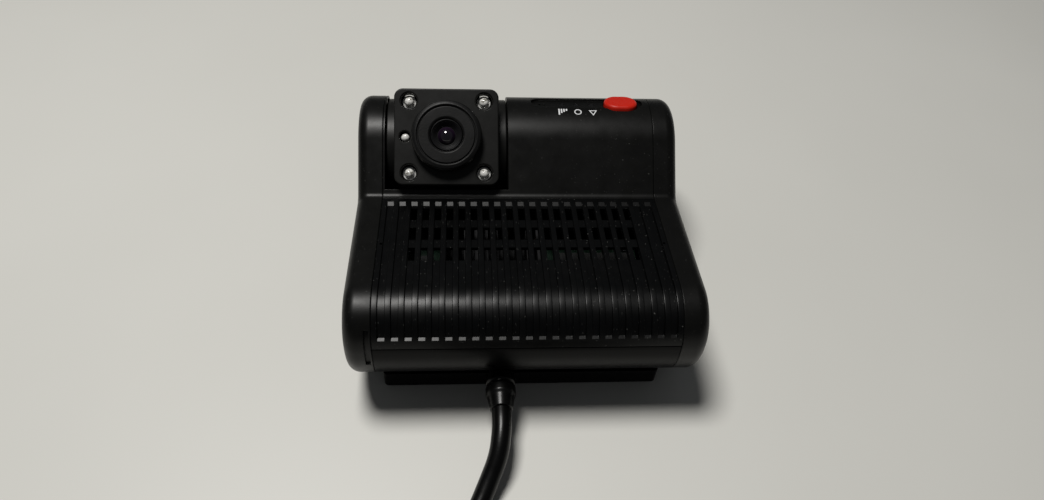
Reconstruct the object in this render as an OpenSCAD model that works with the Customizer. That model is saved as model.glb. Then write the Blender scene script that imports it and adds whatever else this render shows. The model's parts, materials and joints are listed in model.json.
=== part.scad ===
// Dual dash camera lying on the adhesive face of its windscreen bracket.
// X runs along the casing, Y points away from the cable side and Z points up.
// The origin is the centre of the adhesive face.

/* [Casing] */
// Overall width of the casing, both end caps included
casing_w = 127; // [126:0.5:129]
// Width of each end cap
cap_w = 10; // [9.8:0.1:10.2]
// Rounding of the end caps' outer edges
cap_round = 4.6; // [3:0.1:5]
// Wall thickness of the casing
wall = 2.2; // [2:0.1:2.4]
// Height of the underside above the adhesive face
base_z = 9; // [8.8:0.1:9.2]
// Foremost point of the casing, measured from the origin
front_y = -40.7; // [-42:0.1:-40]

/* [Head] */
// Incline of the head's flat face
head_tilt = 40; // [38:0.5:42]
// Radius of the head's round edge
head_r = 20.6; // [20.4:0.1:21]
// Distance of the head's axis behind the origin
head_y = 58.8; // [58:0.1:60]
// Height of the head's axis
head_z = 43.7; // [43:0.1:45]
// Distance from the head's axis down to the waist below the flat face
waist_drop = 22.5; // [22.2:0.1:22.8]
// Fall of the ribbed slope towards the waist
slope_fall = 7.9; // [7.1:0.2:8.7]

/* [Ribbed cover] */
// Number of channels in the cover
channel_count = 23; // [19:2:23]
// Distance between channels
channel_pitch = 4.56; // [4.4:0.02:4.6]
// Width of a channel
channel_w = 2.5; // [2.3:0.1:2.8]
// Depth of a channel
channel_depth = 0.9; // [0.6:0.1:1.1]
// Length of a vent hole
vent_l = 7; // [6:0.5:8]
// Distance between rows of vent holes
vent_pitch = 11.4; // [11:0.1:12]

/* [Cabin camera] */
// Centre of the cabin camera along the casing
cabin_x = -28.6; // [-29:0.1:-28]
// Width of the rotating drum
drum_w = 47.2; // [46:0.1:47.4]
// Radius of the rotating drum
drum_r = 19.4; // [19:0.1:19.5]
// Width of the square face plate
plate_w = 40.3; // [39:0.1:41]
// Height of the square face plate
plate_h = 37.3; // [36:0.1:38]
// Radius of the raised lens ring
lens_ring_r = 13.5; // [13.3:0.1:13.6]
// Distance between infrared lights across the plate
led_span_x = 28.9; // [28.5:0.1:29.2]
// Distance between infrared lights up the plate
led_span_y = 27.7; // [27.4:0.1:28]

/* [Road camera] */
// Centre of the road camera along the casing
road_x = 25; // [24:0.5:26]
// Radius of the road camera's drum
road_r = 14; // [13.8:0.1:14.2]
// Width of the road camera's drum
road_w = 29; // [28:0.5:29.5]

/* [Record button and status lights] */
// Direction of the status recess, measured from the flat face round the head
status_angle = 54; // [52:1:56]
// Centre of the record button along the casing
button_x = 42; // [41:0.5:42]
// Length of the record button
button_l = 13.6; // [13:0.1:14]
// Width of the record button
button_h = 10.6; // [10:0.1:10.8]
// Middle status light along the casing
light_x = 23.8; // [23:0.2:24.2]
// Distance between status lights
light_pitch = 6.1; // [5.8:0.1:6.3]

/* [Bracket] */
// Width of the bracket plate
bracket_w = 105; // [100:1:107]
// Depth of the bracket plate
bracket_d = 60; // [58:1:62]
// Thickness of the adhesive pad
pad_t = 1.2; // [1:0.1:1.4]

/* [Cable] */
// Diameter of the cable
cable_d = 7; // [6.6:0.1:7.2]
// Place of the cable along the casing
cable_x = -9; // [-10:0.5:-8]
// Height of the cable's socket
cable_z = 16; // [15.8:0.1:16.2]
// Mean diameter of the coil
coil_d = 78; // [72:1:82]

/* [Hidden] */

core_w = casing_w - 2 * cap_w;
core_x = core_w / 2;
arc_step = 9;
channel_start = 2.7;
gap = 0.3;

// Angles of the outward normals of the five flats, in the Y and Z plane
underside_a = -90;
back_a = head_tilt - 90;
face_a = head_tilt + 90;
slope_a = 90 - slope_fall;
front_a = 175.8;

// Rounds between the flats
heel_r = 6;
waist_r = 3;
nose_r = 16;
chin_r = 25;

function dir(a) = [cos(a), sin(a)];
function meet(a1, d1, a2, d2) =
    [d1 * sin(a2) - d2 * sin(a1), d2 * cos(a1) - d1 * cos(a2)] / sin(a2 - a1);
function turn(c, r, a1, a2) =
    let (n = ceil(abs(a2 - a1) / arc_step))
    [for (k = [0:n]) c + r * dir(a1 + (a2 - a1) * k / n)];

head_c = [head_y, head_z];
back_d = dir(back_a) * head_c + head_r;
face_d = dir(face_a) * head_c + head_r;
waist = head_c + head_r * dir(face_a) - waist_drop * dir(head_tilt);
slope_d = dir(slope_a) * waist;
front_d = dir(front_a) * [front_y, 27];

heel_c = meet(underside_a, -base_z - heel_r, back_a, back_d - heel_r);
waist_c = meet(face_a, face_d + waist_r, slope_a, slope_d + waist_r);
nose_c = meet(slope_a, slope_d - nose_r, front_a, front_d - nose_r);
chin_c = meet(front_a, front_d - chin_r, underside_a, -base_z - chin_r);

// Outline of the casing, drawn in by an even inset
function outline(inset) = concat(
    turn(heel_c, heel_r - inset, underside_a, back_a),
    turn(head_c, head_r - inset, back_a, face_a),
    turn(waist_c, -waist_r - inset, face_a, slope_a),
    turn(nose_c, nose_r - inset, slope_a, front_a),
    turn(chin_c, chin_r - inset, front_a, 270)
);

// Seams: below the ribbed cover, at the waist and over the head
cover_seam_a = 168;
panel_seam_a = 15;
waist_seam_in = waist_c - (waist_r + 4) * dir(slope_a);
waist_seam_out = waist_c - (waist_r - 3) * dir(slope_a);
cover_region = [
    nose_c + 9 * dir(cover_seam_a), waist_seam_in, waist_seam_out,
    [waist[0] - 5, 90], [-80, 90], nose_c + 40 * dir(cover_seam_a)
];
panel_region = [
    waist_seam_in, head_c, head_c + 60 * dir(panel_seam_a),
    [110, 110], [waist[0] - 5, 90], waist_seam_out
];

bay_x0 = cabin_x - drum_w / 2 - 0.5;
bay_x1 = cabin_x + drum_w / 2 + 0.5;
bay_r = drum_r + 0.4;
bay_sill = -19.9;
bay_behind = 17.5;
bay_low = head_c + bay_sill * dir(head_tilt);
bay_region = [
    head_c, bay_low, bay_low + 40 * dir(face_a),
    head_c + 60 * dir(head_tilt + 45), head_c + 40 * dir(head_tilt - bay_behind)
];
trunnion_r = 4;
bush_r = 5.6;
bush_w = 2;

plate_back = head_r + 0.6;
plate_front = head_r + 5;
ring_front = plate_front + 5.6;

road_inset = 8.5;
road_c = head_c + (head_r - road_inset) * dir(back_a) - 13 * dir(head_tilt);
road_pin_r = 3;
road_opening = 12.9;

status_floor = 19.4;
status_x0 = 5.2;
status_x1 = 51;

board_z = 21;
board_t = 1.6;
board_x = 48;
board_y0 = -33;
board_y1 = 24;
board_holes = [[-36, -29], [36, -29], [-44, 20], [44, 20]];
board_notch_x = 40.4;

// Screws through each side plate: place in the Y and Z plane, and direction to the nearest wall
screw_inset = 8;
screw_spots = [
    [heel_c + (heel_r - screw_inset) * dir(-70), -70],
    [chin_c + (chin_r - screw_inset) * dir(225), 225],
    [head_c + (head_r - screw_inset) * dir(-10), -10]
];
plate_inset = cap_round + 0.4;
side_wall = 4.2;
side_x = casing_w / 2 - side_wall;

door_y0 = -18.5;
door_y1 = 17;
door_z = 17.2;
door_top = 31;
door_pin_x = -casing_w / 2 + 1.5;

rail_x = 30;
bracket_top = base_z - 0.2;

// Prism with a Y and Z outline between two places along the casing
module slab(x0, x1, points) {
    translate([x0, 0, 0])
        rotate([90, 0, 90])
            linear_extrude(x1 - x0)
                polygon(points);
}

// Round bar along X
module bar_x(x0, x1, r) {
    translate([x0, 0, 0])
        rotate([0, 90, 0])
            cylinder(h = x1 - x0, r = r, $fn = 64);
}

module box(x0, x1, y0, y1, z0, z1) {
    translate([x0, y0, z0])
        cube([x1 - x0, y1 - y0, z1 - z0]);
}

// Frame of the head: Y runs up the flat face and Z points out of it
module at_head() {
    translate([0, head_y, head_z])
        rotate([head_tilt, 0, 0])
            children();
}

module at_status() {
    at_head()
        rotate([-status_angle, 0, 0])
            children();
}

module at_cabin() {
    at_head()
        translate([cabin_x, 0, 0])
            children();
}

// Frame of the road camera: Z points out of the back
module at_road() {
    translate([road_x, road_c[0], road_c[1]])
        rotate([head_tilt + 180, 0, 0])
            children();
}

// Bar with round ends, lying along X
module obround(l, h, z0, z1) {
    r = h / 2;
    box(-l / 2 + r, l / 2 - r, -r, r, z0, z1);
    for (s = [-1, 1])
        translate([s * (l / 2 - r), 0, z0])
            cylinder(h = z1 - z0, r = r, $fn = 48);
}

module round_plate(w, h, r, z0, z1) {
    box(-w / 2 + r, w / 2 - r, -h / 2, h / 2, z0, z1);
    box(-w / 2, w / 2, -h / 2 + r, h / 2 - r, z0, z1);
    for (x = [-1, 1], y = [-1, 1])
        translate([x * (w / 2 - r), y * (h / 2 - r), z0])
            cylinder(h = z1 - z0, r = r, $fn = 32);
}

module tube_x(x0, x1, outer, inner) {
    difference() {
        bar_x(x0, x1, outer);
        bar_x(x0 - 1, x1 + 1, inner);
    }
}

// Ring with a rounded outer edge, swept through outlines of the casing at [x, inset] stations
// and back to the first one: side 1 is the right end and -1 the left
module cap_ring(side) {
    edge = casing_w / 2 - cap_round;
    right = concat(
        [[core_x, 0]],
        [for (a = [0:15:90]) [edge + cap_round * sin(a), cap_round * (1 - cos(a))]],
        [[casing_w / 2, plate_inset], [core_x, plate_inset]]
    );
    n = len(right);
    stations = side > 0 ? right : [for (k = [n - 1:-1:0]) [-right[k][0], right[k][1]]];
    rings = [for (s = stations) [for (p = outline(s[1])) [s[0], p[0], p[1]]]];
    count = len(rings[0]);
    polyhedron(
        points = [for (ring = rings) each ring],
        faces = [for (j = [0:n - 1], k = [0:count - 1], half = [0, 1])
            let (
                a = j * count + k,
                b = j * count + (k + 1) % count,
                c = (j + 1) % n * count + (k + 1) % count,
                d = (j + 1) % n * count + k
            )
            half == 0 ? [a, b, c] : [a, c, d]]
    );
}

// Post for an end screw, with a web to the wall
module screw_post(x0, x1, r, spot) {
    translate([0, spot[0][0], spot[0][1]])
        rotate([spot[1], 0, 0]) {
            bar_x(x0, x1, r);
            box(x0, x1, 0, screw_inset - 1.4, -1.2, 1.2);
        }
}

module screw_hole(x0, x1, r, spot) {
    translate([0, spot[0][0], spot[0][1]])
        bar_x(x0, x1, r);
}

// Plate with screw posts that closes the right side; the left side mirrors it
module side_plate() {
    difference() {
        union() {
            slab(side_x, casing_w / 2, outline(plate_inset + 0.1));
            for (spot = screw_spots)
                screw_hole(core_x, side_x + 0.5, 2.9, spot);
        }
        for (spot = screw_spots) {
            screw_hole(core_x - 1, casing_w / 2 + 1, 1.7, spot);
            screw_hole(side_x + 1.4, casing_w / 2 + 1, 3, spot);
        }
    }
}

module rear_shell() {
    color("#1c1c1d")
        difference() {
            union() {
                difference() {
                    slab(-core_x, core_x, outline(0));
                    slab(-core_x - 1, core_x + 1, outline(wall));
                }
                for (s = [-1, 1], spot = screw_spots)
                    if (s > 0 || spot[0][1] < 30)
                        screw_post(min(s * core_x, s * (core_x - 10)), max(s * core_x, s * (core_x - 10)), 3.2, spot);
                intersection() {
                    slab(-core_x, core_x, outline(0.5));
                    for (p = board_holes)
                        translate([p[0], p[1], base_z + 1])
                            cylinder(h = board_z - base_z - 1, r = 2.8, $fn = 32);
                }
                for (s = [-1, 1]) {
                    box(s * rail_x - 4, s * rail_x + 4, -24, 24, base_z - 3.8, base_z + 2);
                    box(s * rail_x - 6, s * rail_x + 6, -24, 24, base_z - 3.8, base_z - 2.2);
                }
            }
            slab(-core_x - 1, core_x + 1, cover_region);
            slab(-core_x - 1, core_x + 1, panel_region);
            at_head()
                bar_x(-core_x - 1, bay_x1, bay_r);
            for (s = [-1, 1], spot = screw_spots)
                screw_hole(s * (core_x - 5) - 8, s * (core_x - 5) + 8, 1.25, spot);
            for (p = board_holes)
                translate([p[0], p[1], board_z - 5])
                    cylinder(h = 10, r = 1.05, $fn = 24);
            at_road()
                box(-road_w / 2 - 0.5, road_w / 2 + 0.5, -road_opening, road_opening, road_inset - 5, road_inset + 5);
            along_cable(-18)
                cylinder(h = 26, r = 4.3, $fn = 48);
            along_cable(0.1 - collar_y)
                cylinder(h = 10, r = 5.8, $fn = 64);
            for (s = [-1, 1])
                translate([s * rail_x, 14, base_z - 1.7])
                    rotate([-90, 0, 0])
                        cylinder(h = 14, r = 1.05, $fn = 24);
        }
}

module front_panel() {
    color("#1f1f20")
        difference() {
            intersection() {
                difference() {
                    slab(-core_x, core_x, outline(0));
                    slab(-core_x - 1, core_x + 1, outline(wall));
                }
                slab(-core_x, core_x, panel_region);
            }
            at_head()
                bar_x(-core_x - 1, bay_x1, bay_r);
            slab(bay_x0, bay_x1, bay_region);
            at_status() {
                translate([(status_x0 + status_x1) / 2, 0, 0])
                    obround(status_x1 - status_x0, 8.4, status_floor, 30);
                translate([button_x, 0, 0]) {
                    obround(button_l + 2, button_h + 1.4, status_floor, 30);
                    obround(button_l + 0.6, button_h + 0.6, 10, 30);
                }
                for (k = [-1:1])
                    translate([light_x + k * light_pitch, 0, 10])
                        cylinder(h = 20, r = 1.2, $fn = 24);
                for (x = [-0.9, 0.9])
                    translate([9.8 + x, 0, 10])
                        cylinder(h = 20, r = 0.55, $fn = 16);
            }
        }
}

module ribbed_cover() {
    color("#171718")
        difference() {
            intersection() {
                difference() {
                    slab(-core_x, core_x, outline(0));
                    slab(-core_x - 1, core_x + 1, outline(wall));
                }
                slab(-core_x, core_x, cover_region);
            }
            for (k = [0:channel_count - 1])
                translate([(k - (channel_count - 1) / 2) * channel_pitch, 0, 0]) {
                    slab(-channel_w / 2, channel_w / 2, channel_ring());
                    if (k > 1 && k < channel_count - 2)
                        for (row = [-1:1])
                            translate([0, 6.7 + row * vent_pitch, 46])
                                cube([channel_w - 0.2, vent_l, 12], center = true);
                }
            for (s = [-1, 1])
                translate([s * (core_x - 1.4), 0, 40])
                    cylinder(h = 20, r = 0.5, $fn = 16);
        }
}

// Channel floor and the open space above it
function channel_ring() = concat(
    [waist_c - (waist_r + channel_depth) * dir(slope_a) - [channel_start, 0]],
    turn(nose_c, nose_r - channel_depth, slope_a, 155),
    turn(nose_c, nose_r + 2, 155, slope_a),
    [waist_c - (waist_r - 2) * dir(slope_a) - [channel_start, 0]]
);

module left_end_cap() {
    color("#1d1d1e")
        difference() {
            cap_ring(-1);
            slab(-core_x - 2.5, -core_x - 0.7, notch_outline);
        }
}

module left_side_plate() {
    color("#1d1d1e")
        difference() {
            mirror([1, 0, 0])
                side_plate();
            door_space();
        }
}

module door_space() {
    out = -casing_w / 2;
    box(out - 1, out + 2.1, door_y0 - gap, door_y1 + gap, door_z, door_top + gap);
    box(out - 1, out + 3.3, door_y0 - gap, door_y1 + gap, door_z - 2.2, door_z + 2.2);
    box(out - 1, out + 12, door_y0 + 3, door_y1 - 3, door_z + 3.6, door_top - 3);
    translate([door_pin_x, door_y0 - 2.5, door_z])
        rotate([-90, 0, 0])
            cylinder(h = door_y1 - door_y0 + 5, r = 0.85, $fn = 24);
}

// Nail notch beside the seam, for prising the end cap off
notch_depth = 1.2;
notch_base = 31;
notch_outline = concat(
    turn(nose_c, nose_r - notch_depth, 141, front_a),
    [meet(front_a, front_d - notch_depth, 90, notch_base), meet(front_a, front_d + 3, 90, notch_base)],
    turn(nose_c, nose_r + 3, front_a, 141)
);

module right_end_cap() {
    color("#1d1d1e")
        cap_ring(1);
}

module right_side_plate() {
    color("#1d1d1e")
        side_plate();
}

module end_screws() {
    color("#3a3a3c")
        for (flip = [0, 1], spot = screw_spots)
            mirror([flip, 0, 0])
                difference() {
                    union() {
                        screw_hole(flip == 1 && spot[0][1] > 30 ? core_x : core_x - 8, side_x + 1.5, 1.2, spot);
                        screw_hole(side_x + 1.5, side_x + 3.5, 2.7, spot);
                    }
                    screw_hole(side_x + 2.6, side_x + 4, 1.1, spot);
                }
}

module bracket_plate() {
    color("#18181a")
        difference() {
            round_plate(bracket_w, bracket_d, 1.8, pad_t, bracket_top);
            for (s = [-1, 1]) {
                box(s * rail_x - 6.3, s * rail_x + 6.3, -24.3, 24.3, base_z - 4.2, base_z - 1.9);
                box(s * rail_x - 4.3, s * rail_x + 4.3, -24.3, 24.3, base_z - 4.2, base_z);
                translate([s * rail_x, 20, base_z - 1.7])
                    rotate([-90, 0, 0]) {
                        cylinder(h = 20, r = 1.6, $fn = 24);
                        translate([0, 0, 8.4])
                            cylinder(h = 10, r = 1.9, $fn = 24);
                    }
            }
            box(-20, 20, -24, 24, pad_t + 2, bracket_top + 1);
        }
}

module adhesive_pad() {
    color("#8f8f92")
        round_plate(bracket_w - 4, bracket_d - 4, 3, 0, pad_t);
}

module bracket_lock_screws() {
    color("#6f7174")
        for (s = [-1, 1])
            translate([s * rail_x, 16, base_z - 1.7])
                rotate([-90, 0, 0])
                    difference() {
                        cylinder(h = 13.6, r = 1, $fn = 24);
                        translate([0, 0, 12.2])
                            cylinder(h = 2, r = 0.5, $fn = 6);
                    }
}

// Two plates across the head that carry the drum's bearings
module drum_bulkheads() {
    color("#242426")
        difference() {
            union() {
                intersection() {
                    slab(bay_x1, bay_x1 + bush_w, outline(wall + 0.1));
                    box(bay_x1 - 1, bay_x1 + 4, 36, 100, 0, 100);
                }
                intersection() {
                    slab(-core_x - bush_w, -core_x, outline(cap_round + 0.4));
                    box(-core_x - 3, -core_x + 1, 36, 100, 0, 100);
                }
            }
            for (spot = [screw_spots[0], screw_spots[2]])
                screw_hole(-core_x - 3, -core_x + 1, 3.4, spot);
            at_head()
                bar_x(-core_x - 3, bay_x1 + 4, bush_r + 0.05);
        }
}

module drum_bushes() {
    color("#d8d4c8")
        at_head() {
            tube_x(-core_x - bush_w, -core_x, bush_r, trunnion_r + 0.05);
            tube_x(bay_x1, bay_x1 + bush_w, bush_r, trunnion_r + 0.05);
        }
}

module main_board() {
    color("#1d5a38")
        difference() {
            box(-board_x, board_x, board_y0, board_y1, board_z, board_z + board_t);
            for (s = [-1, 1])
                translate([s * (board_notch_x + 10), board_y0, board_z])
                    cube([20, 24, 10], center = true);
            for (p = board_holes)
                translate([p[0], p[1], board_z - 1])
                    cylinder(h = 4, r = 1.3, $fn = 24);
        }
}

module board_screws() {
    color("#b8babd")
        for (p = board_holes)
            translate([p[0], p[1], 0]) {
                translate([0, 0, board_z - 4.5])
                    cylinder(h = 4.5 + board_t, r = 1, $fn = 24);
                translate([0, 0, board_z + board_t])
                    cylinder(h = 1.6, r = 2.2, $fn = 24);
            }
}

chip_z = board_z + board_t;

module processor_chips() {
    color("#202022") {
        box(-26, -10, -2, 14, chip_z, chip_z + 1.4);
        box(-5, 6, 0, 12, chip_z, chip_z + 1.4);
        box(-8, 4, -16, -6, chip_z, chip_z + 1.4);
    }
}

module thermal_pad() {
    color("#9fb4c4") {
        box(-26, -10, -2, 14, chip_z + 1.4, chip_z + 2.4);
        box(-5, 6, 0, 12, chip_z + 1.4, chip_z + 2.4);
    }
}

module heat_sink() {
    sink_z = chip_z + 2.4;
    color("#a9acb0") {
        box(-30, 10, -6, 18, sink_z, sink_z + 2);
        for (x = [-30:4:9])
            box(x, x + 1.2, -6, 18, sink_z + 2, sink_z + 12);
    }
}

module modem_module() {
    color("#c4c6c8")
        box(14, 44, -8, 16, chip_z, chip_z + 2.6);
}

module backup_capacitors() {
    color("#23405c")
        for (y = [-27, -16.5])
            translate([0, y, chip_z + 5])
                bar_x(-33, -9.5, 5);
}

module speaker() {
    color("#2a2a2c")
        difference() {
            union() {
                box(5, 32, -30, -10, chip_z, chip_z + 8);
                translate([18.5, -20, chip_z + 8])
                    cylinder(h = 1.2, r = 9.5, $fn = 64);
            }
            translate([18.5, -20, chip_z + 8.4])
                cylinder(h = 2, r = 8, $fn = 64);
        }
}

module positioning_antenna() {
    color("#b9a67c")
        box(-16, 9, -14, 11, board_z - 4, board_z);
}

module cellular_antenna() {
    color("#a8743a")
        box(-12, 24, 24, 34, base_z + wall, base_z + wall + 0.8);
}

module card_sockets() {
    color("#bcbec1")
        for (y = [-16, 1])
            difference() {
                box(-board_x, -board_x + 14, y, y + 14, chip_z, chip_z + 2.2);
                box(-board_x - 1, -board_x + 13, y + 1, y + 13, chip_z + 0.6, chip_z + 1.6);
            }
}

module memory_card() {
    color("#161616")
        box(-board_x - 1.6, -board_x + 12.8, -14.6, -3.6, chip_z + 0.6, chip_z + 1.6);
}

module sim_card() {
    color("#e4e2dc")
        box(-board_x - 1.6, -board_x + 12.8, 2.2, 13.8, chip_z + 0.7, chip_z + 1.5);
}

module status_board() {
    color("#1d5a38")
        at_status()
            box(status_x0 + 1, status_x1 - 1, -5, 5, 11, 12.2);
}

module button_switch() {
    color("#2b2b2d")
        at_status()
            translate([button_x, 0, 0]) {
                box(-3, 3, -3, 3, 12.2, 13.9);
                translate([0, 0, 13.9])
                    cylinder(h = 0.9, r = 1.6, $fn = 32);
            }
}

module status_light_pipes() {
    color("#d9dcdf")
        at_status() {
            box(light_x - 9, light_x + 9, -2, 2, 13.4, 14.6);
            for (k = [-1:1])
                translate([light_x + k * light_pitch, 0, 12.4])
                    cylinder(h = status_floor - 12.5, r = 1.1, $fn = 32);
            for (s = [-1, 1])
                translate([light_x + s * light_pitch / 2, 0, 12.2])
                    cylinder(h = 1.2, r = 0.8, $fn = 24);
        }
}

module microphone() {
    color("#2b2b2d")
        at_status()
            box(8, 11.6, -1.5, 1.5, 12.2, 13.4);
}

module record_button() {
    color("#c8281c")
        at_status()
            translate([button_x, 0, 0]) {
                obround(button_l, button_h, 17, 20.9);
                obround(button_l - 2.4, button_h - 2.4, 20.9, 21.5);
                obround(button_l + 2, button_h + 1.4, 16, 17);
            }
}

module card_door() {
    out = -casing_w / 2;
    color("#1d1d1e")
        difference() {
            union() {
                box(out, out + 1.8, door_y0, door_y1, door_z, door_top);
                translate([door_pin_x, door_y0, door_z])
                    rotate([-90, 0, 0])
                        cylinder(h = door_y1 - door_y0, r = 1.5, $fn = 48);
            }
            translate([door_pin_x, door_y0 - 1, door_z])
                rotate([-90, 0, 0])
                    cylinder(h = door_y1 - door_y0 + 2, r = 0.85, $fn = 24);
            box(out - 1, out + 0.8, -8, 4, door_top - 1.6, door_top + 1);
        }
}

module door_hinge_pin() {
    color("#b8babd")
        translate([door_pin_x, door_y0 - 2.4, door_z])
            rotate([-90, 0, 0])
                cylinder(h = door_y1 - door_y0 + 4.8, r = 0.8, $fn = 24);
}

module drum_shell() {
    x0 = -drum_w / 2;
    x1 = drum_w / 2;
    color("#151516")
        at_cabin()
            difference() {
                union() {
                    bar_x(x0, x1, drum_r);
                    box(-18.2, 18.2, -16.4, 16.4, 10, plate_back);
                    bar_x(x0 - 4.2, x0 + 1, trunnion_r);
                    bar_x(x1 - 1, x1 + 4.2, trunnion_r);
                }
                bar_x(x0 + 2.2, x1 - 2.2, drum_r - 2.2);
                box(-16.8, 16.8, -15, 15, 0, plate_back + 1);
                bar_x(x1 - 3, x1 + 5, 2);
            }
}

module plate_spots() {
    for (x = [-1, 1], y = [-1, 1])
        translate([x * led_span_x / 2, y * led_span_y / 2, 0])
            children();
}

module face_plate() {
    color("#202021")
        at_cabin()
            difference() {
                round_plate(plate_w, plate_h, 3.4, plate_back, plate_front);
                translate([0, 0, plate_back - 1])
                    cylinder(h = 10, r = 11, $fn = 96);
                plate_spots()
                    translate([0, 0, plate_back - 1])
                        cylinder(h = 10, r = 3.4, $fn = 48);
                translate([-16, 0, plate_back - 1])
                    cylinder(h = 10, r = 2.4, $fn = 48);
            }
}

module lens_ring() {
    color("#1a1a1b")
        at_cabin()
            difference() {
                rotate_extrude($fn = 128)
                    polygon([
                        [6.2, plate_back], [10.9, plate_back], [10.9, plate_front],
                        [lens_ring_r, plate_front], [lens_ring_r, ring_front - 1.6],
                        [lens_ring_r - 1.6, ring_front], [11.4, ring_front],
                        [11.4, ring_front - 0.8], [10.8, ring_front - 0.8],
                        [10.8, ring_front - 0.2], [6.2, ring_front - 0.2]
                    ]);
                translate([-16, 0, plate_front - 1])
                    cylinder(h = 10, r = 2.9, $fn = 48);
            }
}

module lens_barrel() {
    color("#0e0e0f")
        at_cabin()
            rotate_extrude($fn = 96)
                polygon([
                    [0, 12.4], [7, 12.4], [7, 17], [6, 17], [6, ring_front - 1],
                    [5.6, ring_front - 1], [3.4, ring_front - 3.4], [0, ring_front - 3.4]
                ]);
}

module lens_glass() {
    color("#3a3350")
        at_cabin()
            rotate_extrude($fn = 96)
                polygon(concat(
                    [[0, ring_front - 3.4], [3.3, ring_front - 3.4]],
                    [for (a = [30:15:90]) [3.8 * cos(a), ring_front - 5.1 + 3.6 * sin(a)]]
                ));
}

module infrared_lights() {
    color("#d9d6cf")
        at_cabin()
            plate_spots() {
                translate([0, 0, 20.8])
                    cylinder(h = 1, r = 1, $fn = 32);
                translate([0, 0, plate_back])
                    cylinder(h = 1.2, r = 2.6, $fn = 48);
                translate([0, 0, 22.4])
                    cylinder(h = 0.9, r = 1.8, $fn = 48);
                translate([0, 0, 23.3])
                    intersection() {
                        sphere(r = 1.8, $fn = 48);
                        cylinder(h = 2, r = 3, $fn = 48);
                    }
            }
}

module light_sensor() {
    color("#c9c9c6")
        at_cabin()
            translate([-16, 0, 0]) {
                translate([0, 0, 20.8])
                    cylinder(h = 1, r = 0.7, $fn = 32);
                translate([0, 0, plate_back])
                    cylinder(h = 1.8, r = 1.7, $fn = 48);
                translate([0, 0, 23])
                    intersection() {
                        sphere(r = 1.7, $fn = 48);
                        cylinder(h = 2, r = 3, $fn = 48);
                    }
            }
}

module light_board() {
    color("#1d5a38")
        at_cabin()
            difference() {
                box(-16.5, 16.5, -14.8, 14.8, 19.6, 20.8);
                translate([0, 0, 19])
                    cylinder(h = 3, r = 7.2, $fn = 64);
            }
}

module cabin_camera_board() {
    color("#1d5a38")
        at_cabin() {
            box(-12, 12, -12, 12, 10, 11.2);
            box(-5, 5, -5, 5, 11.2, 12.4);
        }
}

module road_drum() {
    x0 = -road_w / 2;
    x1 = road_w / 2;
    color("#161617")
        at_road()
            difference() {
                union() {
                    bar_x(x0, x1, road_r);
                    bar_x(x0 - 4, x0 + 1, road_pin_r);
                    bar_x(x1 - 1, x1 + 4, road_pin_r);
                }
                bar_x(x0 + 2, x1 - 2, road_r - 2);
                cylinder(h = 20, r = 5.4, $fn = 64);
            }
}

module road_lens_ring() {
    color("#1a1a1b")
        at_road()
            difference() {
                translate([0, 0, 12])
                    cylinder(h = 5.4, r = 7, $fn = 96);
                cylinder(h = 30, r = 5.4, $fn = 64);
                bar_x(-20, 20, road_r);
            }
}

module road_lens_barrel() {
    color("#0e0e0f")
        at_road()
            rotate_extrude($fn = 64)
                polygon([[0, 2.4], [5.2, 2.4], [5.2, 16.8], [4.6, 16.8], [3, 15], [0, 15]]);
}

module road_lens_glass() {
    color("#3a3350")
        at_road()
            rotate_extrude($fn = 64)
                polygon(concat(
                    [[0, 15], [2.9, 15]],
                    [for (a = [30:15:90]) [3.3 * cos(a), 13.7 + 2.6 * sin(a)]]
                ));
}

module road_camera_board() {
    color("#1d5a38")
        at_road()
            box(-9, 9, -8, 8, 1, 2.4);
}

module road_brackets() {
    ear = concat(
        [[road_c[0] - 14, base_z + wall], [road_c[0] - 10.5, base_z + wall]],
        turn(road_c, 6, -50, 140)
    );
    color("#242426")
        difference() {
            for (s = [-1, 1])
                slab(road_x + s * (road_w / 2 + 2) - 1, road_x + s * (road_w / 2 + 2) + 1, ear);
            at_road()
                bar_x(-road_w, road_w, road_pin_r + 0.05);
        }
}

module along_cable(y) {
    translate([cable_x, y, cable_z])
        rotate([90, 0, 0])
            children();
}

module cable_socket() {
    color("#2a2a2c")
        difference() {
            intersection() {
                box(cable_x - 7, cable_x + 7, -34, -22, base_z, board_z);
                slab(cable_x - 8, cable_x + 8, outline(wall + 0.2));
            }
            along_cable(-24)
                cylinder(h = 20, r = 3.3, $fn = 48);
        }
}

boot_end = -50;
collar_y = 36.1;

module cable_boot() {
    color("#121213")
        along_cable(0)
            rotate_extrude($fn = 64)
                polygon([
                    [0, 25], [3.2, 25], [3.2, 34], [4.1, 34], [4.1, collar_y],
                    [5.5, collar_y], [5.5, 39.6], [4.9, 40], [4.9, 40.9], [5.5, 41.3],
                    [5.5, 44.2], [4.9, 45.4], [4.1, -boot_end], [0, -boot_end]
                ]);
}

// Cable route from the boot to the coil, resting on the surface over its last points
coil_c = [10, -138];
rest_z = cable_d / 2;
lead_route = [
    [cable_x, boot_end, cable_z], [cable_x, -53.5, cable_z], [-9.2, -57.5, 15.2], [-9.3, -61, 14],
    [-9.8, -64, 12.7], [-11.1, -67.5, 10.9], [-12.8, -71, 9], [-14.7, -75, 7],
    [-16.6, -79, 5.3], [-18.5, -83, 4.1], [-20.4, -87, 3.56], [-22.6, -92, rest_z],
    [-24.9, -98, rest_z], [-27.5, -106, rest_z], [-30.2, -114, rest_z]
];

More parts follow.
